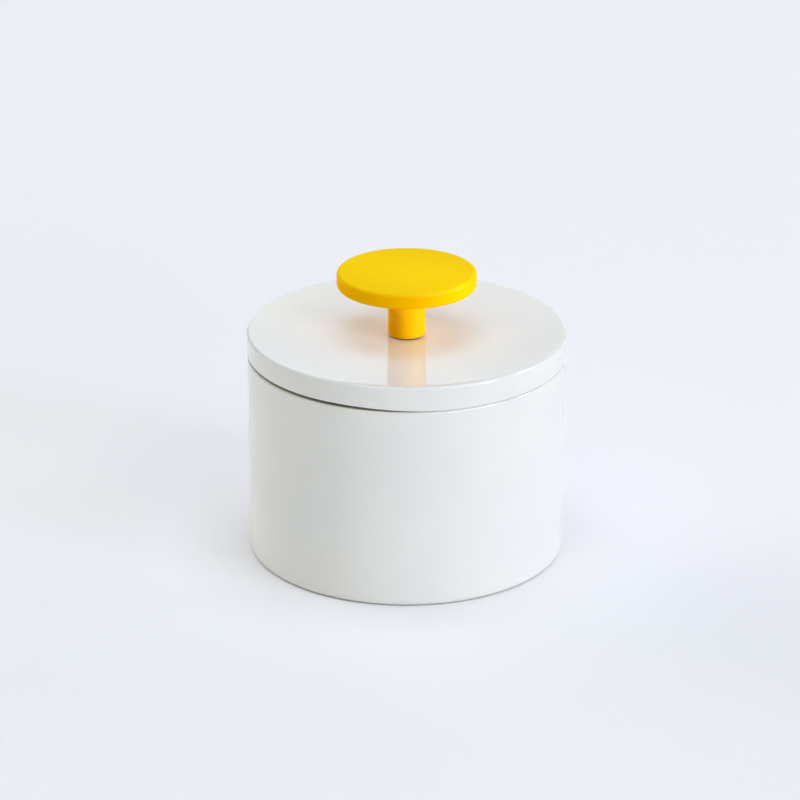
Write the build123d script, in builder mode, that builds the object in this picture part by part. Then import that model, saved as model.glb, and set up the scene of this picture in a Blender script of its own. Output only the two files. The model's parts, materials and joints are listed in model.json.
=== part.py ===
"""Round porcelain box with a flush lid and a turned knob, in millimetres.

The foot stands on Z = 0 and the Z axis is the axis that every piece is turned about.
"""

import os

from build123d import *

# Pot
body_diameter = 103.0
pot_height = 66.45
wall_thickness = 4.2
floor_thickness = 4.8
inside_corner_radius = 4.0
rim_rounding = 0.8
foot_rounding = 2.0
foot_ring_width = 5.0
foot_recess_depth = 1.2
foot_recess_rounding = 0.5

# Seal ring between the rim and the lid
seam_gap = 0.3
seal_inset = 2.2
seal_leg_thickness = 1.0
seal_leg_depth = 4.0
seal_wall_clearance = 0.3
seal_flange_clearance = 0.08

# Lid
lid_side_height = 8.05
lid_top_rounding = 1.2
lid_lower_rounding = 0.4
lid_dish = 2.2
lid_plate_thickness = 4.8
knob_seat_diameter = 15.0
flange_depth = 7.0
flange_thickness = 4.0
flange_rounding = 0.8
flange_root_radius = 1.6

# Knob
knob_disc_diameter = 45.0
knob_disc_thickness = 5.0
knob_disc_rounding = 1.1
stem_diameter = 12.0
stem_length = 16.2
stem_foot_rounding = 0.25
spigot_diameter = 7.0
spigot_length = 3.0
spigot_clearance = 0.03
spigot_end_gap = 0.2

# Washer under the stem
stem_washer_diameter = 10.6
stem_washer_thickness = 0.5

# Screw, its washer and its bush
screw_diameter = 4.0
screw_length = 16.0
screw_point_chamfer = 0.5
head_diameter = 8.0
head_height = 2.5
head_rounding = 1.2
recess_span = 4.4
recess_width = 1.1
recess_depth = 1.6
thread_clearance = 0.05
thread_run_out = 1.9
screw_clearance = 0.15
washer_diameter = 12.0
washer_thickness = 1.0
bush_diameter = 14.0
bush_flange_thickness = 1.2
bush_sleeve_thickness = 0.9
bush_hole_clearance = 0.1
bush_end_gap = 0.4

# Radii that the pieces share
body_radius = body_diameter / 2
pot_inner_radius = body_radius - wall_thickness
foot_inner_radius = body_radius - foot_rounding - foot_ring_width
seal_leg_outer_radius = pot_inner_radius - seal_wall_clearance
seal_inner_radius = seal_leg_outer_radius - seal_leg_thickness
seal_outer_radius = body_radius - seal_inset
flange_outer_radius = seal_inner_radius - seal_flange_clearance
flange_inner_radius = flange_outer_radius - flange_thickness
knob_seat_radius = knob_seat_diameter / 2
screw_radius = screw_diameter / 2
screw_passage_radius = screw_radius + screw_clearance
bush_sleeve_radius = screw_passage_radius + bush_sleeve_thickness
lid_hole_radius = bush_sleeve_radius + bush_hole_clearance
spigot_radius = spigot_diameter / 2

# Heights, from the foot up
floor_z = foot_recess_depth + floor_thickness
seal_leg_z = pot_height - seal_leg_depth
land_z = pot_height + seam_gap
lid_edge_z = land_z + lid_side_height
flange_z = land_z - flange_depth
knob_seat_z = lid_edge_z - lid_dish
plate_z = knob_seat_z - lid_plate_thickness
bush_z = plate_z - bush_flange_thickness
washer_z = bush_z - washer_thickness
head_z = washer_z - head_height
screw_tip_z = washer_z + screw_length
stem_z = knob_seat_z + stem_washer_thickness
disc_z = stem_z + stem_length
thread_end_z = screw_tip_z + thread_run_out

os.makedirs("parts", exist_ok=True)

# Pot: wall, floor and foot ring in one turned profile
with BuildPart() as pot:
    with BuildSketch(Plane.XZ):
        with BuildLine():
            FilletPolyline(
                (0, foot_recess_depth),
                (foot_inner_radius, foot_recess_depth),
                (foot_inner_radius, 0),
                (body_radius, 0),
                (body_radius, pot_height),
                (pot_inner_radius, pot_height),
                (pot_inner_radius, floor_z),
                (0, floor_z),
                radius=[
                    0,
                    foot_recess_rounding,
                    foot_recess_rounding,
                    foot_rounding,
                    rim_rounding,
                    rim_rounding,
                    inside_corner_radius,
                    0,
                ],
                close=True,
            )
        make_face()
    revolve(axis=Axis.Z)
pot.part.label = "pot"

# Seal ring: a flat leg that the lid rests on and a collar round the lid's flange
with BuildPart() as lid_seal:
    with BuildSketch(Plane.XZ):
        with BuildLine():
            Polyline(
                (seal_inner_radius, seal_leg_z),
                (seal_leg_outer_radius, seal_leg_z),
                (seal_leg_outer_radius, pot_height),
                (seal_outer_radius, pot_height),
                (seal_outer_radius, land_z),
                (seal_inner_radius, land_z),
                close=True,
            )
        make_face()
    revolve(axis=Axis.Z)
lid_seal.part.label = "lid_seal"

# Lid: dished plate with a flat seat for the knob, an outer land and the flange that centres it
with BuildPart() as lid:
    with BuildSketch(Plane.XZ) as lid_profile:
        with BuildLine():
            seat = Line((lid_hole_radius, knob_seat_z), (knob_seat_radius, knob_seat_z))
            dish = TangentArc(seat @ 1, (body_radius, lid_edge_z), tangent=(1, 0))
            Polyline(
                dish @ 1,
                (body_radius, land_z),
                (flange_outer_radius, land_z),
                (flange_outer_radius, flange_z),
                (flange_inner_radius, flange_z),
                (flange_inner_radius, plate_z),
                (lid_hole_radius, plate_z),
                seat @ 0,
            )
        make_face()
        side_corners = lid_profile.vertices().group_by(Axis.X)[-1].sort_by(Axis.Y)
        flange_corners = lid_profile.vertices().group_by(Axis.Y)[0]
        flange_root = lid_profile.vertices().sort_by_distance((flange_inner_radius, plate_z))[0]
        fillet(side_corners[-1], lid_top_rounding)
        fillet(side_corners[0], lid_lower_rounding)
        fillet(flange_corners, flange_rounding)
        fillet(flange_root, flange_root_radius)
    revolve(axis=Axis.Z)
lid.part.label = "lid"

# Knob disc: a rounded disc with a blind socket for the stem's spigot
with BuildPart() as knob_disc:
    with BuildSketch(Plane.XY.offset(disc_z)):
        Circle(knob_disc_diameter / 2)
    extrude(amount=knob_disc_thickness)
    fillet(knob_disc.edges().filter_by(GeomType.CIRCLE), knob_disc_rounding)
    with BuildSketch(Plane.XY.offset(disc_z)):
        Circle(spigot_radius + spigot_clearance)
    extrude(amount=spigot_length + spigot_end_gap, mode=Mode.SUBTRACT)
knob_disc.part.label = "knob_disc"

# Knob stem: a straight post with a spigot on top and a threaded hole from below
with BuildPart() as knob_stem:
    with BuildSketch(Plane.XY.offset(stem_z)):
        Circle(stem_diameter / 2)
    extrude(amount=stem_length)
    fillet(knob_stem.edges().filter_by(GeomType.CIRCLE).sort_by(Axis.Z)[0], stem_foot_rounding)
    with BuildSketch(Plane.XY.offset(disc_z)):
        Circle(spigot_radius)
    extrude(amount=spigot_length)
    with BuildSketch(Plane.XY.offset(stem_z)):
        Circle(screw_radius + thread_clearance)
    extrude(amount=thread_end_z - stem_z, mode=Mode.SUBTRACT)
knob_stem.part.label = "knob_stem"

# Washer between the stem and the glaze
with BuildPart() as stem_washer:
    with BuildSketch(Plane.XY.offset(knob_seat_z)):
        Circle(stem_washer_diameter / 2)
        Circle(screw_passage_radius, mode=Mode.SUBTRACT)
    extrude(amount=stem_washer_thickness)
stem_washer.part.label = "stem_washer"

# Bush: a flange under the lid and a sleeve that fills the lid's hole
with BuildPart() as screw_bush:
    with BuildSketch(Plane.XY.offset(bush_z)):
        Circle(bush_diameter / 2)
    extrude(amount=bush_flange_thickness)
    with BuildSketch(Plane.XY.offset(plate_z)):
        Circle(bush_sleeve_radius)
    extrude(amount=lid_plate_thickness - bush_end_gap)
    with BuildSketch(Plane.XY.offset(bush_z)):
        Circle(screw_passage_radius)
    extrude(amount=knob_seat_z - bush_z, mode=Mode.SUBTRACT)
screw_bush.part.label = "screw_bush"

# Flat washer under the screw's head
with BuildPart() as screw_washer:
    with BuildSketch(Plane.XY.offset(washer_z)):
        Circle(washer_diameter / 2)
        Circle(screw_passage_radius, mode=Mode.SUBTRACT)
    extrude(amount=washer_thickness)
screw_washer.part.label = "screw_washer"

# Screw: pan head below, with a cross recess, and a plain shank in place of its thread
with BuildPart() as knob_screw:
    with BuildSketch(Plane.XY.offset(head_z)):
        Circle(head_diameter / 2)
    extrude(amount=head_height)
    fillet(knob_screw.edges().filter_by(GeomType.CIRCLE).sort_by(Axis.Z)[0], head_rounding)
    with BuildSketch(Plane.XY.offset(washer_z)):
        Circle(screw_radius)
    extrude(amount=screw_length)
    chamfer(knob_screw.edges().filter_by(GeomType.CIRCLE).sort_by(Axis.Z)[-1], screw_point_chamfer)
    with BuildSketch(Plane.XY.offset(head_z)):
        Rectangle(recess_span, recess_width)
        Rectangle(recess_width, recess_span)
    extrude(amount=recess_depth, mode=Mode.SUBTRACT)
knob_screw.part.label = "knob_screw"

for piece in (
    pot,
    lid_seal,
    lid,
    knob_disc,
    knob_stem,
    stem_washer,
    screw_bush,
    screw_washer,
    knob_screw,
):
    export_step(piece.part, f"parts/{piece.part.label}.step")
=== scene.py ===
"""Dresses the lidded porcelain box: turned pieces, their finishes, and a plain pale stage."""

import json
import math

import bpy
from bpy.props import FloatProperty, FloatVectorProperty, IntProperty, PointerProperty
from bpy.types import Operator, Panel, PropertyGroup
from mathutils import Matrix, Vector

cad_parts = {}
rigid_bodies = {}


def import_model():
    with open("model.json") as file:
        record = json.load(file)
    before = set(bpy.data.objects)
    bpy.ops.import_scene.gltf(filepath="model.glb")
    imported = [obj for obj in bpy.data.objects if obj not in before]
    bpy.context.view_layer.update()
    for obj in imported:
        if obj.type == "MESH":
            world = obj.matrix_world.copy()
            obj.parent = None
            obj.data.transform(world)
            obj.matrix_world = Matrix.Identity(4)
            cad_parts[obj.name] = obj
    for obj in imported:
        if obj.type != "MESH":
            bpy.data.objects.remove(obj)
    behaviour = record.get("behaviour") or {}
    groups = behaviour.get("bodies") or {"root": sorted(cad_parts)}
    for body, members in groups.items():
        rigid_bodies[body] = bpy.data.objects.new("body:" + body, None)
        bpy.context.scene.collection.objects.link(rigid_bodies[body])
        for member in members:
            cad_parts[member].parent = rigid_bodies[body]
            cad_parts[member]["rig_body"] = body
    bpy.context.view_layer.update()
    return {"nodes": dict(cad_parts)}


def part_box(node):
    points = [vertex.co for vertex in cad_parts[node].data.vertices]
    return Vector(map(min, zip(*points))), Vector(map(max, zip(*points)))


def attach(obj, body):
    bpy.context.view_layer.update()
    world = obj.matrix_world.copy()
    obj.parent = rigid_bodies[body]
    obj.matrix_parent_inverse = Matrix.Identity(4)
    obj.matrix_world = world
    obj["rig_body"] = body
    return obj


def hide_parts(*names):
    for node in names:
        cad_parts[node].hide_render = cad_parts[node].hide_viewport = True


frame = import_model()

bl_info = {
    "name": "Lidded Porcelain Box",
    "version": (1, 0, 0),
    "blender": (4, 5, 0),
    "location": "View3D > Sidebar > Porcelain Box",
    "description": "Makes a round porcelain box with a flush lid and a turned knob around its frame",
    "category": "Add Mesh",
}

PHOTO_SIDE = 800
SENSOR_WIDTH = 36.0
FLOOR_SIDES = 96
MM = 0.001
HAIR = 0.000001

# Turned shapes: fillets, the porcelain's waviness, the lid's hanging edge and the screw's thread
FILLET_POINTS = 8
WAVE_SCALE = 28.0
STILL_FOOT, WAVY_FOOT = 0.5 * MM, 4.0 * MM
STILL_AXIS = 10.0 * MM
SEAL_CLEAR = 1.0 * MM
WAVY_SEATS = 2.0
NIP_START, NIP_FULL = -0.45, 0.25
SHANK_LOW, SHANK_HIGH = 0.999, 1.001
ROWS_PER_THREAD = 12

# How far the bare clay reaches, and its ragged edge
BARE_FOOT = 0.15 * MM
BARE_FROM_SIDE = 0.7 * MM
BARE_FROM_MOUTH = 0.5 * MM
BARE_FROM_FLANGE = 0.3 * MM
BARE_BELOW = 0.3 * MM
BARE_ABOVE = 0.1 * MM
RAGGED_REACH = 0.25 * MM
RAGGED_EDGE = 0.12 * MM

# Second tints of the finishes, and how rare the pinholes are
PINHOLE_TINT = (0.42, 0.38, 0.31)
PINHOLE_RARITY = 0.93
# The clay's second tint is darkened with the bisque: painted shade for the foot line and the seam
CLAY_PALE_AND_SHADE = (0.54, 0.50, 0.44)
# The seal's second tint is also a dark grey: painted shade for the seam
SEAL_SHADE_PALE = (0.34, 0.33, 0.29)
RUBBER_PALE = (0.06, 0.058, 0.054)
NYLON_DEEP = (0.64, 0.61, 0.52)
STEEL_BLOOM = (0.56, 0.54, 0.46)
FLOOR_SHADE = 0.985

# Where the knob's enamel changes, down from the disc's top and from its foot, between the lit top's yellow,
# the painted side shade and the coat
FLAT_START, FLAT_FULL = 0.5 * MM, 0.05 * MM
EDGE_START, EDGE_FULL = 1.4 * MM, 0.9 * MM
STEM_FADE = 0.3 * MM

# Panels of light that the glaze doesn't mirror
UNMIRRORED = ("left_low", "left_mid", "right_back")

# Narrow beams on the knob, side by side, with angles in degrees
BEAM_COUNT = 5
BEAM_FIRST = 18.0
BEAM_STEP = 6.0
BEAM_ELEVATION = 10.0
BEAM_REACH = 19.0 * MM
BEAM_POWER = 20.0
BEAM_TINT = (0.93, 1.0, 0.85)
BEAM_BLEND = 0.7
BEAM_SOFTNESS = 0.3

# Window panes that only the gloss shows: name, azimuth and width in degrees
PANES = (("pane_near", 32.0, 11.0), ("pane_far", -1.0, 8.0))
PANE_ELEVATION = 18.0
PANE_HEIGHT = 10.0
PANE_POWER_PER_DEGREE = 36.0
PANE_TINT = (1.0, 1.0, 1.0)


def reach(node):
    """Outer radius of a turned node and the heights of its ends, a hair inside its box."""
    low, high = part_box(node)
    return high.x - HAIR, low.z + HAIR, high.z - HAIR


POT_RADIUS, POT_FOOT, POT_RIM = reach("pot")
LID_RADIUS, FLANGE_FOOT, _ = reach("lid")
SEAL_RADIUS, SEAL_FOOT, LAND = reach("lid_seal")
DISC_RADIUS, DISC_FOOT, DISC_TOP = reach("knob_disc")
STEM_RADIUS, STEM_FOOT, SPIGOT_TOP = reach("knob_stem")
PAD_RADIUS, KNOB_SEAT, PAD_TOP = reach("stem_washer")
BUSH_RADIUS, BUSH_FOOT, BUSH_TOP = reach("screw_bush")
WASHER_RADIUS, WASHER_FOOT, WASHER_TOP = reach("screw_washer")
HEAD_RADIUS, HEAD_FOOT, SCREW_TIP = reach("knob_screw")


def length(name, description, default):
    """A size in metres that shows in the scene's own length unit."""
    return FloatProperty(name=name, description=description, default=default, unit="LENGTH", precision=5)


def colour(name, description, default):
    """A linear colour with a picker."""
    return FloatVectorProperty(
        name=name, description=description, default=default, subtype="COLOR", min=0.0, max=1.0
    )


class PotSizes(PropertyGroup):
    """Sizes of the pot that the frame's boxes don't give."""

    wall: length("Wall", "Thickness of the pot's side", 4.2 * MM)
    floor: length("Floor", "Height of the inside floor above the table", 6.0 * MM)
    inside_corner: length("Inside corner", "Radius between floor and side", 4.0 * MM)
    rim_rounding: length("Rim rounding", "Radius of both edges of the rim", 0.8 * MM)
    foot_rounding: length("Foot rounding", "Radius of the foot's outer edge", 2.0 * MM)
    foot_ring: length("Foot ring", "Width of the bare ring that the pot stands on", 5.0 * MM)
    foot_recess: length("Foot recess", "Depth of the recess inside the foot ring", 1.2 * MM)
    recess_rounding: length("Recess rounding", "Radius of the recess's edges", 0.5 * MM)


class LidSizes(PropertyGroup):
    """Sizes of the lid and its seal that the frame's boxes don't give."""

    side: length("Side", "Height of the lid's side", 8.05 * MM)
    top_rounding: length("Top rounding", "Radius of the lid's upper edge", 1.2 * MM)
    lower_rounding: length("Lower rounding", "Radius of the lid's lower edge", 0.4 * MM)
    plate: length("Plate", "Thickness of the lid under the knob", 4.8 * MM)
    seat_radius: length("Knob seat", "Radius of the flat place under the knob", 7.5 * MM)
    warp: length("Warp", "How far the lower edge stands up on one side", 0.75 * MM)
    nip: length("Nip", "How far the lower edge hangs down on the other side", 0.2 * MM)
    flange_wall: length("Flange wall", "Thickness of the flange inside the pot's mouth", 4.0 * MM)
    flange_rounding: length("Flange rounding", "Radius of the flange's lower edges", 0.8 * MM)
    flange_root: length("Flange root", "Radius where the flange meets the plate", 1.6 * MM)
    flange_gap: length("Flange gap", "Clearance between flange and seal", 0.08 * MM)
    seal_collar: length("Seal collar", "Thickness of the seal's collar", 1.0 * MM)
    seal_gap: length("Seal gap", "Clearance between the collar and the pot", 0.3 * MM)
    seal_rounding: length("Seal rounding", "Radius of the seal's edges", 0.15 * MM)


class KnobSizes(PropertyGroup):
    """Sizes of the knob that the frame's boxes don't give."""

    disc_rounding: length("Disc rounding", "Radius of the disc's edges", 1.1 * MM)
    stem_rounding: length("Stem rounding", "Radius of the stem's lower edge", 0.25 * MM)
    spigot_radius: length("Spigot", "Radius of the stem's spigot in the disc", 3.5 * MM)
    spigot_gap: length("Spigot gap", "Clearance around the spigot", 0.03 * MM)
    socket_gap: length("Socket gap", "Room above the spigot's end", 0.2 * MM)
    thread_gap: length("Thread gap", "Clearance around the screw's thread", 0.05 * MM)
    thread_end: length("Thread end", "Length of the threaded hole past the screw", 1.9 * MM)


class FittingSizes(PropertyGroup):
    """Sizes of the screw, its washers and its bush that the frame's boxes don't give."""

    screw_radius: length("Screw", "Outer radius of the thread", 2.0 * MM)
    pitch: length("Pitch", "Distance from one turn of the thread to the next", 0.7 * MM)
    thread_depth: length("Thread depth", "Depth of the thread's groove", 0.4 * MM)
    plain_neck: length("Plain neck", "Length under the head with no thread", 1.0 * MM)
    head_rounding: length("Head rounding", "Radius of the pan head's edge", 1.2 * MM)
    recess_span: length("Recess span", "Length of each arm pair of the cross recess", 4.4 * MM)
    recess_width: length("Recess width", "Width of the recess's arms", 1.1 * MM)
    recess_depth: length("Recess depth", "Depth of the cross recess", 1.6 * MM)
    screw_gap: length("Screw gap", "Clearance around the screw in washers and bush", 0.15 * MM)
    sleeve: length("Sleeve", "Thickness of the bush's sleeve", 0.9 * MM)
    hole_gap: length("Hole gap", "Clearance between sleeve and lid", 0.1 * MM)
    edge_rounding: length("Edge rounding", "Radius of the small edges", 0.12 * MM)


class Finishes(PropertyGroup):
    """Colours and the liveliness of the surfaces."""

    porcelain: colour("Porcelain", "White under the glaze", (0.82, 0.82, 0.775))
    porcelain_cool: colour("Porcelain, cool", "Where the glaze lies thicker", (0.795, 0.805, 0.77))
    # Bare clay, darkened beyond its own tone: painted shade that deepens the foot line and the seam
    bisque_and_shade: colour("Bisque", "Bare fired clay", (0.46, 0.43, 0.37))
    enamel: colour("Enamel", "Colour of the knob's flat top", (1.0, 0.65, 0.004))
    # The deeper orange of the upright sides is painted shade, a shaded copy of the top's yellow
    enamel_side_shade: colour("Enamel, deep", "Colour of the upright sides, where it is thicker", (1.0, 0.49, 0.0))
    # The seal's dark grey is painted shade that darkens the seam between lid and pot
    silicone: colour("Silicone", "Colour of the seal", (0.27, 0.265, 0.235))
    # The washer's black is rubber's own colour and partly painted shade that darkens the gap under the stem
    rubber: colour("Rubber", "Colour of the washer under the stem", (0.025, 0.024, 0.022))
    nylon: colour("Nylon", "Colour of the bush", (0.72, 0.69, 0.60))
    steel: colour("Steel", "Colour of the screw and its washer", (0.60, 0.60, 0.58))
    unevenness: length("Unevenness", "Depth of the hand-made waviness of the porcelain", 0.06 * MM)
    segments: IntProperty(name="Segments", description="Faces round a large piece", default=288, min=48)
    small_segments: IntProperty(
        name="Small segments", description="Faces round a fitting", default=128, min=24
    )
    row: length("Row", "Largest step along a turned outline", 1.3 * MM)
    seed: IntProperty(name="Seed", description="Seed of the waviness", default=7)


class StageSizes(PropertyGroup):
    """Camera, floor and light."""

    elevation: FloatProperty(
        name="Elevation",
        description="Camera's height above the horizon",
        default=math.radians(22.25),
        subtype="ANGLE",
    )
    distance: length("Distance", "From the camera to its target", 1136 * MM)
    target_x: length("Target across", "Sideways place of the camera's target", -2.14 * MM)
    target_z: length("Target height", "Height of the camera's target", 49.68 * MM)
    focal_pixels: FloatProperty(name="Focal length", description="In the picture's pixels", default=3500.0)
    floor_radius: length("Floor", "Radius of the floor", 4.0)
    floor: colour("Floor colour", "Pale cool white", (0.945, 0.94, 0.97))
    sky: colour("Surroundings", "Light from all around", (1.0, 1.0, 0.90))
    sky_strength: FloatProperty(
        name="Surroundings' strength", description="Brightness of the surroundings", default=0.02
    )
    light_distance: length("Light distance", "From the box to each panel", 10.0)
    beam_distance: length("Beam distance", "From the knob to its narrow lights", 2.1)
    brightness: FloatProperty(name="Brightness", description="Factor on every light's power", default=1.0)


class Value:
    """A node's output that takes part in Python arithmetic."""

    def __init__(self, graph, socket):
        self.graph = graph
        self.socket = socket

    def __add__(self, other):
        return self.graph.math("ADD", self, other)

    def __radd__(self, other):
        return self.graph.math("ADD", other, self)

    def __sub__(self, other):
        return self.graph.math("SUBTRACT", self, other)

    def __rsub__(self, other):
        return self.graph.math("SUBTRACT", other, self)

    def __mul__(self, other):
        return self.graph.math("MULTIPLY", self, other)

    def __rmul__(self, other):
        return self.graph.math("MULTIPLY", other, self)

    def __truediv__(self, other):
        return self.graph.math("DIVIDE", self, other)

    def __rtruediv__(self, other):
        return self.graph.math("DIVIDE", other, self)

    def __mod__(self, other):
        return self.graph.math("FLOORED_MODULO", self, other)

    def __abs__(self):
        return self.graph.math("ABSOLUTE", self)

    def __gt__(self, other):
        return self.graph.math("GREATER_THAN", self, other)

    def __lt__(self, other):
        return self.graph.math("LESS_THAN", self, other)


class Graph:
    """Adds nodes to one shader or geometry tree."""

    def __init__(self, tree):
        self.tree = tree

    def node(self, kind, settings=None, values=None):
        """Adds a node, sets its settings, then fills its sockets by identifier, name or place."""
        node = self.tree.nodes.new(kind)
        for name, setting in (settings or {}).items():
            if name == "items":
                while len(node.index_switch_items) < setting:
                    node.index_switch_items.new()
            else:
                setattr(node, name, setting)
        for key, value in (values or {}).items():
            self.put(self.find(node, key), value)
        return node

    @staticmethod
    def find(node, key):
        if isinstance(key, int):
            return node.inputs[key]
        for socket in node.inputs:
            if socket.identifier == key:
                return socket
        return node.inputs[key]

    def put(self, socket, value):
        if isinstance(value, Value):
            self.tree.links.new(value.socket, socket)
        elif socket.type == "RGBA" and len(value) == 3:
            socket.default_value = (*value, 1.0)
        else:
            socket.default_value = value

    def out(self, node, key=0):
        return Value(self, node.outputs[key])

    def math(self, operation, *values):
        return self.out(self.node("ShaderNodeMath", {"operation": operation}, dict(enumerate(values))))

    def clamp(self, value):
        return self.out(self.node("ShaderNodeClamp", None, {"Value": value}))

    def mix(self, factor, first, second):
        """Mixes two colours. The third output is the colour one, and all of them have the same name."""
        node = self.node(
            "ShaderNodeMix",
            {"data_type": "RGBA"},
            {"Factor_Float": factor, "A_Color": first, "B_Color": second},
        )
        return self.out(node, 2)

    def xyz(self, x, y, z):
        return self.out(self.node("ShaderNodeCombineXYZ", None, {"X": x, "Y": y, "Z": z}))

    def split(self, vector):
        node = self.node("ShaderNodeSeparateXYZ", None, {"Vector": vector})
        return [self.out(node, axis) for axis in "XYZ"]

    def noise(self, vector, scale, detail=2.0, roughness=0.5):
        node = self.node(
            "ShaderNodeTexNoise",
            None,
            {"Vector": vector, "Scale": scale, "Detail": detail, "Roughness": roughness},
        )
        return self.out(node)

    def step(self, value, low, high):
        """Smoothly from 0 at low to 1 at high."""
        node = self.node(
            "ShaderNodeMapRange",
            {"interpolation_type": "SMOOTHSTEP"},
            {"Value": value, "From Min": low, "From Max": high},
        )
        return self.out(node)


def switch(graph, index, values):
    """The value whose place in the list is the index."""
    node = graph.node(
        "GeometryNodeIndexSwitch",
        {"data_type": "FLOAT", "items": len(values)},
        {"Index": index, **{place + 1: value for place, value in enumerate(values)}},
    )
    return graph.out(node)


def point_count(graph, curve):
    """How many points a curve has."""
    node = graph.node("GeometryNodeAttributeDomainSize", {"component": "CURVE"}, {"Geometry": curve})
    return graph.out(node)


def turned_tree(name, sizes, outline, closed, reshape=None, cutter=None):
    """A geometry tree that turns an outline of rounded corners about the Z axis.

    outline gives corners of radius, height and rounding, anticlockwise with the axis on the left. An open
    outline starts and ends on the axis. reshape moves each turned point's radius and height, and cutter takes
    a shape out of the turned mesh.
    """
    tree = bpy.data.node_groups.new(name, "GeometryNodeTree")
    face = tree.interface
    face.new_socket("Geometry", in_out="OUTPUT", socket_type="NodeSocketGeometry")
    for label, default in sizes.items():
        kind = "NodeSocketInt" if isinstance(default, int) else "NodeSocketFloat"
        face.new_socket(label, in_out="INPUT", socket_type=kind).default_value = default
    face.new_socket("Material", in_out="INPUT", socket_type="NodeSocketMaterial")

    graph = Graph(tree)
    entry = tree.nodes.new("NodeGroupInput")
    size = {label: graph.out(entry, label) for label in (*sizes, "Material")}
    corners = outline(size)
    radii, heights, roundings = zip(*corners)
    index = graph.out(graph.node("GeometryNodeInputIndex"))

    place = graph.xyz(switch(graph, index, radii), 0.0, switch(graph, index, heights))
    points = graph.node("GeometryNodePoints", None, {"Count": len(corners), "Position": place})
    line = graph.node("GeometryNodePointsToCurves", None, {"Points": graph.out(points)})
    loop = graph.node("GeometryNodeSetSplineCyclic", None, {0: graph.out(line), "Cyclic": closed})
    rounded = graph.node(
        "GeometryNodeFilletCurve",
        {"mode": "POLY"},
        {
            "Curve": graph.out(loop),
            "Count": FILLET_POINTS,
            "Radius": switch(graph, index, roundings),
            "Limit Radius": True,
        },
    )

    position = graph.out(graph.node("GeometryNodeInputPosition"))
    count = point_count(graph, graph.out(rounded))
    following = graph.node(
        "GeometryNodeFieldAtIndex",
        {"data_type": "FLOAT_VECTOR"},
        {"Index": (index + 1) % count, "Value": position},
    )
    gap = graph.node(
        "ShaderNodeVectorMath", {"operation": "DISTANCE"}, {0: position, 1: graph.out(following)}
    )
    steps = graph.math("FLOOR", graph.out(gap, "Value") / size["Row"])
    fine = graph.node("GeometryNodeSubdivideCurve", None, {"Curve": graph.out(rounded), "Cuts": steps})

    fine_count = point_count(graph, graph.out(fine))
    rows = fine_count + 1 if closed else fine_count
    grid = graph.node(
        "GeometryNodeMeshGrid",
        None,
        {"Size X": 1.0, "Size Y": 1.0, "Vertices X": size["Segments"] + 1, "Vertices Y": rows},
    )
    across, along, _ = graph.split(position)
    row = graph.math("ROUND", (along + 0.5) * (rows - 1)) % fine_count
    sample = graph.node(
        "GeometryNodeSampleIndex",
        {"data_type": "FLOAT_VECTOR"},
        {"Geometry": graph.out(fine), "Value": position, "Index": row},
    )
    radius, _, height = graph.split(graph.out(sample))
    angle = (across + 0.5) * math.tau
    if reshape:
        radius, height = reshape(graph, size, radius, height, angle)
    turned = graph.node(
        "GeometryNodeSetPosition",
        None,
        {
            "Geometry": graph.out(grid),
            "Position": graph.xyz(
                radius * graph.math("COSINE", angle), radius * graph.math("SINE", angle), height
            ),
        },
    )
    merged = graph.out(
        graph.node("GeometryNodeMergeByDistance", None, {"Geometry": graph.out(turned), "Distance": HAIR})
    )
    if cutter:
        merged = cutter(graph, size, merged)
    smooth = graph.node("GeometryNodeSetShadeSmooth", None, {0: merged})
    real = graph.node("GeometryNodeRealizeInstances", None, {"Geometry": graph.out(smooth)})
    painted = graph.node(
        "GeometryNodeSetMaterial", None, {"Geometry": graph.out(real), "Material": size["Material"]}
    )
    tree.links.new(painted.outputs[0], tree.nodes.new("NodeGroupOutput").inputs[0])
    return tree


def turned_piece(name, node, tree, sizes, material):
    """Makes a turned tree's result a plain mesh that stands for a node of the frame."""
    piece = bpy.data.objects.new(name, bpy.data.meshes.new(name))
    bpy.context.scene.collection.objects.link(piece)
    modifier = piece.modifiers.new("Turned", "NODES")
    modifier.node_group = tree
    wanted = {**sizes, "Material": material}
    for item in tree.interface.items_tree:
        if item.in_out == "INPUT":
            modifier[item.identifier] = wanted[item.name]
    bpy.context.view_layer.update()
    made = bpy.data.meshes.new_from_object(
        piece.evaluated_get(bpy.context.evaluated_depsgraph_get()),
        preserve_all_data_layers=True,
        depsgraph=bpy.context.evaluated_depsgraph_get(),
    )
    piece.modifiers.remove(modifier)
    if not made.polygons:
        raise RuntimeError(f"{name} came out empty")
    made.name = name
    made.materials.pop(index=0)
    piece.data = made
    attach(piece, frame["nodes"][node]["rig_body"])
    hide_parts(node)
    return piece


def waviness(graph, size, radius, height, angle):
    """Draws the wall in and the top down by a little, unevenly, as clay moves in the kiln."""
    around = graph.xyz(radius * graph.math("COSINE", angle), radius * graph.math("SINE", angle), height)
    node = graph.node(
        "ShaderNodeTexNoise",
        {"noise_dimensions": "4D"},
        {"Vector": around, "W": size["Seed"], "Scale": WAVE_SCALE, "Detail": 1.0},
    )
    pull, drop, _ = graph.split(graph.out(node, "Color"))
    above_foot = graph.step(height, POT_FOOT + STILL_FOOT, POT_FOOT + WAVY_FOOT)
    depth = size["Unevenness"] * above_foot
    off_axis = graph.clamp(radius / STILL_AXIS)
    return radius - pull * depth * off_axis, height - drop * depth


def pot_outline(size):
    radius, rim = size["Body radius"], size["Rim height"]
    inner = radius - size["Wall"]
    foot = radius - size["Foot rounding"] - size["Foot ring"]
    recess, floor = size["Foot recess"], size["Floor"]
    return [
        (0.0, recess, 0.0),
        (foot, recess, size["Recess rounding"]),
        (foot, POT_FOOT, size["Recess rounding"]),
        (radius, POT_FOOT, size["Foot rounding"]),
        (radius, rim, size["Rim rounding"]),
        (inner, rim, size["Rim rounding"]),
        (inner, floor, size["Inside corner"]),
        (0.0, floor, 0.0),
    ]


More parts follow.
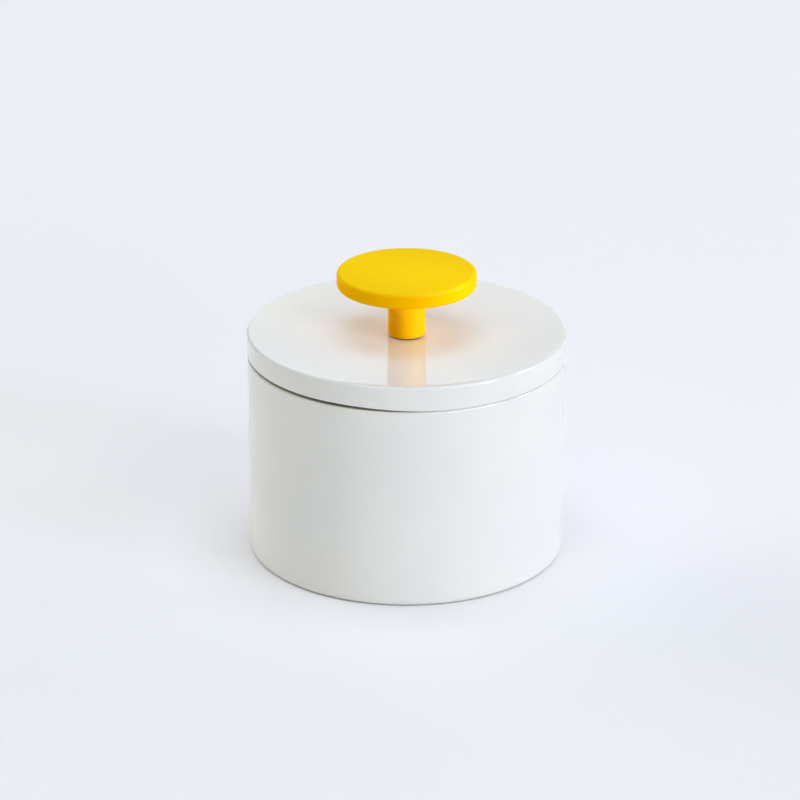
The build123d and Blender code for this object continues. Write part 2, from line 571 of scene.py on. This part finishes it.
def lid_outline(size):
    radius, edge, plate = size["Lid radius"], size["Edge height"], size["Plate height"]
    hole, flange = size["Hole radius"], size["Flange radius"]
    inside = flange - size["Flange wall"]
    return [
        (hole, plate, size["Hole rounding"]),
        (inside, plate, size["Flange root"]),
        (inside, size["Flange foot"], size["Flange rounding"]),
        (flange, size["Flange foot"], size["Flange rounding"]),
        (flange, size["Land"], size["Hole rounding"]),
        (radius, size["Land"], size["Lower rounding"]),
        (radius, edge, size["Top rounding"]),
        (hole, edge, size["Hole rounding"]),
    ]


def dished(graph, size, radius, height, angle):
    """Sinks the lid's top towards the knob's seat, warps its lower edge and adds the porcelain's waviness."""
    out = graph.clamp((radius - size["Seat radius"]) / (size["Lid radius"] - size["Seat radius"]))
    share = graph.clamp((height - size["Plate height"]) / (size["Edge height"] - size["Plate height"]))
    sunk = height - size["Dish"] * (1.0 - out * out) * share
    low = 1.0 - graph.clamp((height - size["Land"]) / (size["Edge height"] - size["Land"]))
    beyond_seal = graph.step(radius, SEAL_RADIUS, SEAL_RADIUS + SEAL_CLEAR)
    nipped = graph.step(graph.math("COSINE", angle), NIP_START, NIP_FULL)
    sunk = sunk + (size["Warp"] * (1.0 - nipped) - size["Nip"] * nipped) * low * beyond_seal
    away_from_seat = graph.step(radius, size["Seat radius"], size["Seat radius"] * WAVY_SEATS)
    wavy_radius, wavy_height = waviness(graph, size, radius, sunk, angle)
    return radius + (wavy_radius - radius) * away_from_seat, sunk + (wavy_height - sunk) * away_from_seat


def ring_outline(size):
    inner, outer, low, high = size["Inner radius"], size["Outer radius"], size["Foot"], size["Top"]
    rounding = size["Rounding"]
    return [(inner, low, rounding), (outer, low, rounding), (outer, high, rounding), (inner, high, rounding)]


def seal_outline(size):
    inner, collar, rounding = size["Inner radius"], size["Collar radius"], size["Rounding"]
    return [
        (inner, size["Foot"], rounding),
        (collar, size["Foot"], rounding),
        (collar, size["Rim"], 0.0),
        (size["Outer radius"], size["Rim"], rounding),
        (size["Outer radius"], size["Land"], rounding),
        (inner, size["Land"], rounding),
    ]


def disc_outline(size):
    radius, foot, top, socket = size["Radius"], size["Foot"], size["Top"], size["Socket radius"]
    return [
        (0.0, size["Socket end"], 0.0),
        (socket, size["Socket end"], size["Fine rounding"]),
        (socket, foot, size["Fine rounding"]),
        (radius, foot, size["Rounding"]),
        (radius, top, size["Rounding"]),
        (0.0, top, 0.0),
    ]


def stem_outline(size):
    radius, foot, shoulder, bore = size["Radius"], size["Foot"], size["Shoulder"], size["Bore radius"]
    fine = size["Fine rounding"]
    return [
        (0.0, size["Bore end"], 0.0),
        (bore, size["Bore end"], fine),
        (bore, foot, fine),
        (radius, foot, size["Rounding"]),
        (radius, shoulder, fine),
        (size["Spigot radius"], shoulder, 0.0),
        (size["Spigot radius"], size["Top"], fine),
        (0.0, size["Top"], 0.0),
    ]


def bush_outline(size):
    inner, fine = size["Inner radius"], size["Rounding"]
    return [
        (inner, size["Foot"], fine),
        (size["Flange radius"], size["Foot"], fine),
        (size["Flange radius"], size["Plate height"], fine),
        (size["Sleeve radius"], size["Plate height"], 0.0),
        (size["Sleeve radius"], size["Top"], fine),
        (inner, size["Top"], fine),
    ]


def screw_outline(size):
    head, shank = size["Head radius"], size["Screw radius"]
    return [
        (0.0, size["Foot"], 0.0),
        (head, size["Foot"], size["Head rounding"]),
        (head, size["Neck"], size["Rounding"]),
        (shank, size["Neck"], 0.0),
        (shank, size["Tip"], size["Thread depth"]),
        (0.0, size["Tip"], 0.0),
    ]


def threaded(graph, size, radius, height, angle):
    """Cuts a right-handed groove into the shank, fading in below the head."""
    turn = (height / size["Pitch"] - angle / math.tau) % 1.0
    groove = 1.0 - abs(turn * 2.0 - 1.0)
    start = size["Neck"] + size["Plain neck"]
    shank = size["Screw radius"]
    on_shank = (radius > shank * SHANK_LOW) * (radius < shank * SHANK_HIGH)
    fade = graph.step(height, start, start + size["Pitch"]) * on_shank
    return radius - groove * fade * size["Thread depth"], height


def cross_recess(graph, size, mesh):
    """Takes a cross-shaped recess out of the screw's head."""
    depth, span, width = size["Recess depth"], size["Recess span"], size["Recess width"]
    exact = {"solver": "EXACT"}
    cross = graph.node("GeometryNodeMeshBoolean", {"operation": "UNION", **exact})
    for x, y in ((span, width), (width, span)):
        arm = graph.node("GeometryNodeMeshCube", None, {"Size": graph.xyz(x, y, depth * 2.0)})
        graph.tree.links.new(arm.outputs["Mesh"], cross.inputs["Mesh 2"])
    under_head = graph.node(
        "GeometryNodeTransform",
        None,
        {"Geometry": graph.out(cross), "Translation": graph.xyz(0.0, 0.0, size["Foot"])},
    )
    return graph.out(
        graph.node(
            "GeometryNodeMeshBoolean",
            {"operation": "DIFFERENCE", **exact},
            {"Mesh 1": mesh, "Mesh 2": graph.out(under_head)},
        )
    )


def new_material(name):
    """A material with its graph, its shader and the place on the piece."""
    material = bpy.data.materials.new(name)
    material.use_nodes = True
    graph = Graph(material.node_tree)
    shader = material.node_tree.nodes["Principled BSDF"]
    place = graph.out(graph.node("ShaderNodeTexCoord"), "Object")
    return material, graph, shader, place


def fill(graph, shader, values):
    for key, value in values.items():
        graph.put(graph.find(shader, key), value)


def bump(graph, height, strength, distance):
    node = graph.node("ShaderNodeBump", None, {"Height": height, "Strength": strength, "Distance": distance})
    return graph.out(node)


def radius_of(graph, place):
    x, y, _ = graph.split(place)
    return graph.math("SQRT", x * x + y * y)


def tool_rings(graph, place, density):
    """Fine rings round the axis, from 0 to 1."""
    return graph.math("SINE", radius_of(graph, place) * density) * 0.5 + 0.5


def porcelain(name, bare_below, bare_ring):
    """Glossy white glaze with cool pools and rare pinholes, over clay that is bare where it was set down.

    bare_ring gives the inner and outer radius and the lowest and highest point of the place where lid and
    pot meet.
    """
    look = bpy.context.scene.box_finishes
    material, graph, shader, place = new_material(name)
    pools = graph.step(graph.noise(place, scale=34.0), low=0.35, high=0.7)
    glaze = graph.mix(pools, look.porcelain, look.porcelain_cool)
    cells = graph.node("ShaderNodeTexVoronoi", None, {"Vector": place, "Scale": 150.0})
    distance, tint = graph.out(cells, "Distance"), graph.out(cells, "Color")
    chance = graph.out(graph.node("ShaderNodeSeparateColor", None, {"Color": tint}), "Red")
    pinhole = (1.0 - graph.step(distance, low=0.012, high=0.03)) * (chance > PINHOLE_RARITY)
    speckled = graph.mix(pinhole * 0.35, glaze, PINHOLE_TINT)
    _, _, height = graph.split(place)
    ragged = (graph.noise(place, scale=420.0) - 0.5) * RAGGED_REACH
    foot = 1.0 - graph.step(height + ragged, bare_below, bare_below + RAGGED_EDGE)
    inner, outer, low, high = bare_ring
    radius = radius_of(graph, place) + ragged
    inside = graph.step(radius, inner, inner + RAGGED_EDGE)
    outside = graph.step(radius, outer, outer + RAGGED_EDGE)
    across = inside * (1.0 - outside)
    bare = graph.math("MAXIMUM", foot, across * (height > low) * (height < high))
    grain = graph.noise(place, scale=2600.0, detail=3.0, roughness=0.6)
    # Bare clay with a real grain, darkened as painted shade that deepens the contact line at the foot and the
    # seam
    clay = graph.mix(grain, look.bisque_and_shade, CLAY_PALE_AND_SHADE)
    clay_roughness = 0.78 + grain * 0.1
    peel = graph.noise(place, scale=380.0, detail=1.0)
    wiped = graph.noise(place, scale=90.0, detail=3.0)
    glaze_roughness = 0.055 + wiped * 0.05
    relief = peel * 0.35 * (1.0 - bare) + grain * bare * 0.6 - pinhole * 0.8
    fill(
        graph,
        shader,
        {
            "Base Color": graph.mix(bare, speckled, clay),
            "Roughness": glaze_roughness * (1.0 - bare) + clay_roughness * bare,
            "Normal": bump(graph, relief, strength=0.12, distance=0.05 * MM),
            "IOR": 1.5,
        },
    )
    return material


def enamel():
    """Yellow enamel that lies thicker on upright sides and shines most on the stem and the disc's edge."""
    look = bpy.context.scene.box_finishes
    material, graph, shader, place = new_material("yellow_enamel")
    _, _, height = graph.split(place)
    flat_top = graph.step(height, low=DISC_TOP - FLAT_START, high=DISC_TOP - FLAT_FULL)
    cloud = graph.noise(place, scale=120.0)
    # Painted shade: the sides take the deeper orange and the flat top the lit yellow, with a random cloud
    # between them
    side_shade_and_cloud = graph.clamp(1.0 - flat_top + (cloud - 0.5) * 0.3)
    on_stem = 1.0 - graph.step(height, low=DISC_FOOT - STEM_FADE, high=DISC_FOOT)
    on_edge = graph.step(height, low=DISC_TOP - EDGE_START, high=DISC_TOP - EDGE_FULL) * (1.0 - flat_top)
    peel = graph.noise(place, scale=900.0, detail=1.0)
    dust = graph.noise(place, scale=3200.0)
    fill(
        graph,
        shader,
        {
            "Base Color": graph.mix(side_shade_and_cloud, look.enamel, look.enamel_side_shade),
            "Roughness": 0.14 + dust * 0.08,
            "Specular IOR Level": 0.001,
            "Coat Weight": (on_stem + on_edge) * 0.2,
            "Coat Roughness": 0.03,
            "Normal": bump(graph, peel + dust * 0.1, strength=0.1, distance=0.03 * MM),
        },
    )
    return material


def silicone():
    """Grey seal rubber with a soft sheen and settled dust."""
    look = bpy.context.scene.box_finishes
    material, graph, shader, place = new_material("grey_silicone")
    dust = graph.noise(place, scale=1400.0, detail=3.0)
    cloud = graph.noise(place, scale=60.0)
    fill(
        graph,
        shader,
        {
            "Base Color": graph.mix(cloud, look.silicone, SEAL_SHADE_PALE),
            "Roughness": 0.38 + dust * 0.2,
            "Normal": bump(graph, dust, strength=0.15, distance=0.02 * MM),
        },
    )
    return material


def rubber():
    """Black rubber with a dull, finely grained skin."""
    look = bpy.context.scene.box_finishes
    material, graph, shader, place = new_material("black_rubber")
    grain = graph.noise(place, scale=2400.0, detail=3.0)
    fill(
        graph,
        shader,
        {
            "Base Color": graph.mix(grain, look.rubber, RUBBER_PALE),
            "Roughness": 0.6 + grain * 0.25,
            "Normal": bump(graph, grain, strength=0.3, distance=0.02 * MM),
        },
    )
    return material


def nylon():
    """Cream nylon with faint tool rings."""
    look = bpy.context.scene.box_finishes
    material, graph, shader, place = new_material("cream_nylon")
    rings = tool_rings(graph, place, density=16000.0)
    mottle = graph.noise(place, scale=300.0, detail=3.0)
    fill(
        graph,
        shader,
        {
            "Base Color": graph.mix(mottle, look.nylon, NYLON_DEEP),
            "Roughness": 0.42 + mottle * 0.15,
            "Normal": bump(graph, rings + mottle, strength=0.12, distance=0.01 * MM),
        },
    )
    return material


def steel():
    """Zinc-bright steel with turning marks and a faint warm bloom."""
    look = bpy.context.scene.box_finishes
    material, graph, shader, place = new_material("turned_steel")
    rings = tool_rings(graph, place, density=42000.0)
    bloom = graph.step(graph.noise(place, scale=260.0, detail=3.0), low=0.4, high=0.75)
    fill(
        graph,
        shader,
        {
            "Base Color": graph.mix(bloom, look.steel, STEEL_BLOOM),
            "Metallic": 1.0,
            "Roughness": 0.24 + rings * 0.08 + bloom * 0.1,
            "Normal": bump(graph, rings, strength=0.15, distance=0.005 * MM),
        },
    )
    return material


def pale_floor():
    """Cool white paper with a faint tooth."""
    stage = bpy.context.scene.box_stage
    material, graph, shader, place = new_material("pale_floor")
    tooth = graph.noise(place, scale=900.0, detail=3.0)
    drift = graph.noise(place, scale=1.6)
    shade = tuple(FLOOR_SHADE * part for part in stage.floor)
    fill(
        graph,
        shader,
        {
            "Base Color": graph.mix(drift, stage.floor, shade),
            "Roughness": 0.75 + tooth * 0.1,
            "Normal": bump(graph, tooth, strength=0.05, distance=0.05 * MM),
            "Specular IOR Level": 0.0,
        },
    )
    return material


class BOX_OT_pot(Operator):
    """Makes the porcelain pot"""

    bl_idname = "lidded_box.pot"
    bl_label = "Pot"

    def execute(self, context):
        pot, look = context.scene.box_pot, context.scene.box_finishes
        sizes = {
            "Body radius": POT_RADIUS,
            "Rim height": POT_RIM,
            "Wall": pot.wall,
            "Floor": pot.floor,
            "Inside corner": pot.inside_corner,
            "Rim rounding": pot.rim_rounding,
            "Foot rounding": pot.foot_rounding,
            "Foot ring": pot.foot_ring,
            "Foot recess": pot.foot_recess,
            "Recess rounding": pot.recess_rounding,
            "Unevenness": look.unevenness,
            "Row": look.row,
            "Segments": look.segments,
            "Seed": look.seed,
        }
        tree = turned_tree("Turned pot", sizes, pot_outline, False, waviness)
        rim = (
            POT_RADIUS - pot.wall + BARE_FROM_MOUTH,
            POT_RADIUS - BARE_FROM_SIDE,
            POT_RIM - BARE_BELOW,
            POT_RIM + BARE_ABOVE,
        )
        finish = porcelain("pot_porcelain", POT_FOOT + BARE_FOOT, rim)
        turned_piece("porcelain_pot", "pot", tree, sizes, finish)
        return {"FINISHED"}


class BOX_OT_lid(Operator):
    """Makes the porcelain lid with its flange"""

    bl_idname = "lidded_box.lid"
    bl_label = "Lid"

    def execute(self, context):
        lid, pot = context.scene.box_lid, context.scene.box_pot
        fit, look = context.scene.box_fittings, context.scene.box_finishes
        edge = LAND + lid.side
        collar = POT_RADIUS - pot.wall - lid.seal_gap
        sizes = {
            "Lid radius": LID_RADIUS,
            "Edge height": edge,
            "Plate height": KNOB_SEAT - lid.plate,
            "Land": LAND,
            "Flange foot": FLANGE_FOOT,
            "Flange radius": collar - lid.seal_collar - lid.flange_gap,
            "Flange wall": lid.flange_wall,
            "Flange rounding": lid.flange_rounding,
            "Flange root": lid.flange_root,
            "Top rounding": lid.top_rounding,
            "Lower rounding": lid.lower_rounding,
            "Warp": lid.warp,
            "Nip": lid.nip,
            "Hole radius": fit.screw_radius + fit.screw_gap + fit.sleeve + fit.hole_gap,
            "Hole rounding": fit.edge_rounding,
            "Dish": edge - KNOB_SEAT,
            "Seat radius": lid.seat_radius,
            "Unevenness": look.unevenness,
            "Row": look.row,
            "Segments": look.segments,
            "Seed": look.seed,
        }
        tree = turned_tree("Turned lid", sizes, lid_outline, True, dished)
        land = (
            sizes["Flange radius"] + BARE_FROM_FLANGE,
            LID_RADIUS - BARE_FROM_SIDE,
            LAND - BARE_BELOW,
            LAND + lid.warp + BARE_ABOVE,
        )
        finish = porcelain("lid_porcelain", FLANGE_FOOT + BARE_FOOT, land)
        turned_piece("porcelain_lid", "lid", tree, sizes, finish)
        return {"FINISHED"}


class BOX_OT_seal(Operator):
    """Makes the ring that carries the lid on the rim"""

    bl_idname = "lidded_box.seal"
    bl_label = "Seal"

    def execute(self, context):
        lid, pot, look = context.scene.box_lid, context.scene.box_pot, context.scene.box_finishes
        collar = POT_RADIUS - pot.wall - lid.seal_gap
        sizes = {
            "Inner radius": collar - lid.seal_collar,
            "Collar radius": collar,
            "Outer radius": SEAL_RADIUS,
            "Foot": SEAL_FOOT,
            "Rim": POT_RIM,
            "Land": LAND,
            "Rounding": lid.seal_rounding,
            "Row": look.row,
            "Segments": look.segments,
        }
        tree = turned_tree("Turned seal", sizes, seal_outline, True)
        turned_piece("silicone_seal", "lid_seal", tree, sizes, silicone())
        return {"FINISHED"}


class BOX_OT_knob(Operator):
    """Makes the knob's disc and stem"""

    bl_idname = "lidded_box.knob"
    bl_label = "Knob"

    def execute(self, context):
        knob, fit, look = context.scene.box_knob, context.scene.box_fittings, context.scene.box_finishes
        finish = enamel()
        disc = {
            "Radius": DISC_RADIUS,
            "Foot": DISC_FOOT,
            "Top": DISC_TOP,
            "Rounding": knob.disc_rounding,
            "Socket radius": knob.spigot_radius + knob.spigot_gap,
            "Socket end": SPIGOT_TOP + knob.socket_gap,
            "Fine rounding": fit.edge_rounding,
            "Row": look.row,
            "Segments": look.segments,
        }
        tree = turned_tree("Turned disc", disc, disc_outline, False)
        turned_piece("enamel_disc", "knob_disc", tree, disc, finish)
        stem = {
            "Radius": STEM_RADIUS,
            "Foot": STEM_FOOT,
            "Shoulder": DISC_FOOT,
            "Top": SPIGOT_TOP,
            "Rounding": knob.stem_rounding,
            "Spigot radius": knob.spigot_radius,
            "Bore radius": fit.screw_radius + knob.thread_gap,
            "Bore end": SCREW_TIP + knob.thread_end,
            "Fine rounding": fit.edge_rounding,
            "Row": look.row,
            "Segments": look.small_segments,
        }
        tree = turned_tree("Turned stem", stem, stem_outline, False)
        turned_piece("enamel_stem", "knob_stem", tree, stem, finish)
        return {"FINISHED"}


class BOX_OT_fittings(Operator):
    """Makes the screw, its bush and the washers"""

    bl_idname = "lidded_box.fittings"
    bl_label = "Fittings"

    def execute(self, context):
        lid, fit, look = context.scene.box_lid, context.scene.box_fittings, context.scene.box_finishes
        passage = fit.screw_radius + fit.screw_gap
        bright = steel()
        fine = {"Row": look.row, "Segments": look.small_segments}
        ring = {"Inner radius": passage, "Rounding": fit.edge_rounding, **fine}
        pad = {**ring, "Outer radius": PAD_RADIUS, "Foot": KNOB_SEAT, "Top": PAD_TOP}
        washer = {**ring, "Outer radius": WASHER_RADIUS, "Foot": WASHER_FOOT, "Top": WASHER_TOP}
        tree = turned_tree("Turned ring", pad, ring_outline, True)
        turned_piece("rubber_washer", "stem_washer", tree, pad, rubber())
        turned_piece("steel_washer", "screw_washer", tree, washer, bright)
        bush = {
            "Inner radius": passage,
            "Flange radius": BUSH_RADIUS,
            "Sleeve radius": passage + fit.sleeve,
            "Foot": BUSH_FOOT,
            "Plate height": KNOB_SEAT - lid.plate,
            "Top": BUSH_TOP,
            "Rounding": fit.edge_rounding,
            **fine,
        }
        tree = turned_tree("Turned bush", bush, bush_outline, True)
        turned_piece("nylon_bush", "screw_bush", tree, bush, nylon())
        screw = {
            "Head radius": HEAD_RADIUS,
            "Screw radius": fit.screw_radius,
            "Foot": HEAD_FOOT,
            "Neck": WASHER_FOOT,
            "Tip": SCREW_TIP,
            "Head rounding": fit.head_rounding,
            "Pitch": fit.pitch,
            "Thread depth": fit.thread_depth,
            "Plain neck": fit.plain_neck,
            "Recess span": fit.recess_span,
            "Recess width": fit.recess_width,
            "Recess depth": fit.recess_depth,
            "Rounding": fit.edge_rounding,
            "Row": fit.pitch / ROWS_PER_THREAD,
            "Segments": look.small_segments // 2,
        }
        tree = turned_tree("Turned screw", screw, screw_outline, False, threaded, cross_recess)
        turned_piece("steel_screw", "knob_screw", tree, screw, bright)
        return {"FINISHED"}


def aim(thing, target):
    """Turns a light or camera to look at a point."""
    thing.rotation_euler = (Vector(target) - thing.location).to_track_quat("-Z", "Y").to_euler()


def placed_light(data, place, height, distance, power, tint):
    """Puts a light at a distance from a point on the axis at the given height, and aims it there.

    place gives azimuth and elevation in degrees as the box sees them, the azimuth from +X towards the
    camera's side.
    """
    data.energy = power * bpy.context.scene.box_stage.brightness
    data.color = tint
    light = bpy.data.objects.new(data.name, data)
    turn, rise = (math.radians(angle) for angle in place)
    towards = Vector((math.cos(rise) * math.cos(turn), -math.cos(rise) * math.sin(turn), math.sin(rise)))
    middle = Vector((0.0, 0.0, height))
    light.location = middle + towards * distance
    aim(light, middle)
    bpy.context.scene.collection.objects.link(light)
    return light


def soft_light(name, place, spread, power, tint):
    """A far panel that looks at the box and isn't seen itself. spread gives width and height in degrees."""
    distance = bpy.context.scene.box_stage.light_distance
    data = bpy.data.lights.new(name, "AREA")
    data.shape = "RECTANGLE"
    data.size, data.size_y = (2.0 * distance * math.tan(math.radians(angle / 2)) for angle in spread)
    light = placed_light(data, place, POT_RIM, distance, power, tint)
    light.visible_camera = False
    return light


def room_light():
    """Panels that stand for the room's window, ceiling and walls."""
    soft_light("window_near", place=(29.0, 13.0), spread=(10.0, 26.0), power=284.0, tint=(0.62, 0.70, 1.0))
    soft_light("window_far", place=(-3.0, 18.0), spread=(14.0, 30.0), power=68.0, tint=(0.90, 0.92, 1.0))
    soft_light("window_glow", place=(56.0, 10.0), spread=(36.0, 20.0), power=284.0, tint=(0.93, 0.94, 1.0))
    soft_light("window_high", place=(20.0, 42.0), spread=(60.0, 20.0), power=138.0, tint=(1.0, 1.0, 0.98))
    soft_light("ceiling", place=(90.0, 89.0), spread=(40.0, 40.0), power=434.0, tint=(0.71, 0.82, 1.0))
    soft_light("front_top", place=(92.0, 54.0), spread=(76.0, 28.0), power=298.0, tint=(1.0, 0.97, 0.74))
    soft_light("left_low", place=(219.0, 10.0), spread=(40.0, 20.0), power=407.0, tint=(1.0, 0.92, 0.90))
    soft_light("left_mid", place=(198.0, 30.0), spread=(50.0, 20.0), power=169.0, tint=(1.0, 0.98, 0.86))
    soft_light("back", place=(272.0, 20.0), spread=(40.0, 40.0), power=220.0, tint=(0.85, 0.90, 1.0))
    soft_light("right_back", place=(318.0, 18.0), spread=(44.0, 32.0), power=243.0, tint=(1.0, 0.88, 0.70))
    for name in UNMIRRORED:
        bpy.data.objects[name].visible_glossy = False


def knob_beam(name, azimuth):
    """A narrow beam that looks at the knob and isn't mirrored."""
    distance = bpy.context.scene.box_stage.beam_distance
    data = bpy.data.lights.new(name, "SPOT")
    data.spot_size = 2.0 * math.atan(BEAM_REACH / distance)
    data.spot_blend = BEAM_BLEND
    data.shadow_soft_size = BEAM_SOFTNESS * BEAM_REACH
    knob_middle = (STEM_FOOT + DISC_TOP) / 2
    light = placed_light(data, (azimuth, BEAM_ELEVATION), knob_middle, distance, BEAM_POWER, BEAM_TINT)
    light.visible_glossy = False


class BOX_OT_stage(Operator):
    """Makes the floor, the light and the camera"""

    bl_idname = "lidded_box.stage"
    bl_label = "Stage"

    def execute(self, context):
        scene = context.scene
        stage = scene.box_stage
        bpy.ops.mesh.primitive_circle_add(vertices=FLOOR_SIDES, radius=stage.floor_radius, fill_type="NGON")
        floor = context.object
        floor.name = "stage_floor"
        floor.data.materials.append(pale_floor())

        scene.world = bpy.data.worlds.new("soft_surroundings")
        scene.world.use_nodes = True
        sky = scene.world.node_tree.nodes["Background"]
        sky.inputs["Color"].default_value = (*stage.sky, 1.0)
        sky.inputs["Strength"].default_value = stage.sky_strength

        room_light()
        for beam in range(BEAM_COUNT):
            knob_beam(f"knob_beam_{beam}", BEAM_FIRST + BEAM_STEP * beam)
        for name, azimuth, width in PANES:
            power = PANE_POWER_PER_DEGREE * width
            pane = soft_light(name, (azimuth, PANE_ELEVATION), (width, PANE_HEIGHT), power, PANE_TINT)
            pane.visible_diffuse = False

        lens = bpy.data.cameras.new("photo_camera")
        lens.sensor_width = SENSOR_WIDTH
        lens.lens = stage.focal_pixels / PHOTO_SIDE * lens.sensor_width
        camera = bpy.data.objects.new("photo_camera", lens)
        target = Vector((stage.target_x, 0.0, stage.target_z))
        back = Vector((0.0, -math.cos(stage.elevation), math.sin(stage.elevation)))
        camera.location = target + back * stage.distance
        aim(camera, target)
        scene.collection.objects.link(camera)
        scene.camera = camera
        scene.view_settings.view_transform = "Standard"
        return {"FINISHED"}


class BOX_PT_sidebar(Panel):
    """Lists the pieces and their sizes"""

    bl_label = "Porcelain Box"
    bl_idname = "BOX_PT_sidebar"
    bl_space_type = "VIEW_3D"
    bl_region_type = "UI"
    bl_category = "Porcelain Box"

    def draw(self, context):
        for operator in OPERATORS:
            self.layout.operator(operator.bl_idname)
        for name, group in GROUPS.items():
            column = self.layout.column(heading=group.__doc__)
            for item in group.__annotations__:
                column.prop(getattr(context.scene, name), item)


GROUPS = {
    "box_pot": PotSizes,
    "box_lid": LidSizes,
    "box_knob": KnobSizes,
    "box_fittings": FittingSizes,
    "box_finishes": Finishes,
    "box_stage": StageSizes,
}
OPERATORS = (BOX_OT_pot, BOX_OT_lid, BOX_OT_seal, BOX_OT_knob, BOX_OT_fittings, BOX_OT_stage)
CLASSES = (*GROUPS.values(), *OPERATORS, BOX_PT_sidebar)


def register():
    for item in CLASSES:
        bpy.utils.register_class(item)
    for name, group in GROUPS.items():
        setattr(bpy.types.Scene, name, PointerProperty(type=group))


def unregister():
    for name in GROUPS:
        delattr(bpy.types.Scene, name)
    for item in reversed(CLASSES):
        bpy.utils.unregister_class(item)


def main():
    register()
    bpy.ops.lidded_box.pot()
    bpy.ops.lidded_box.lid()
    bpy.ops.lidded_box.seal()
    bpy.ops.lidded_box.knob()
    bpy.ops.lidded_box.fittings()
    bpy.ops.lidded_box.stage()


if __name__ == "__main__":
    main()
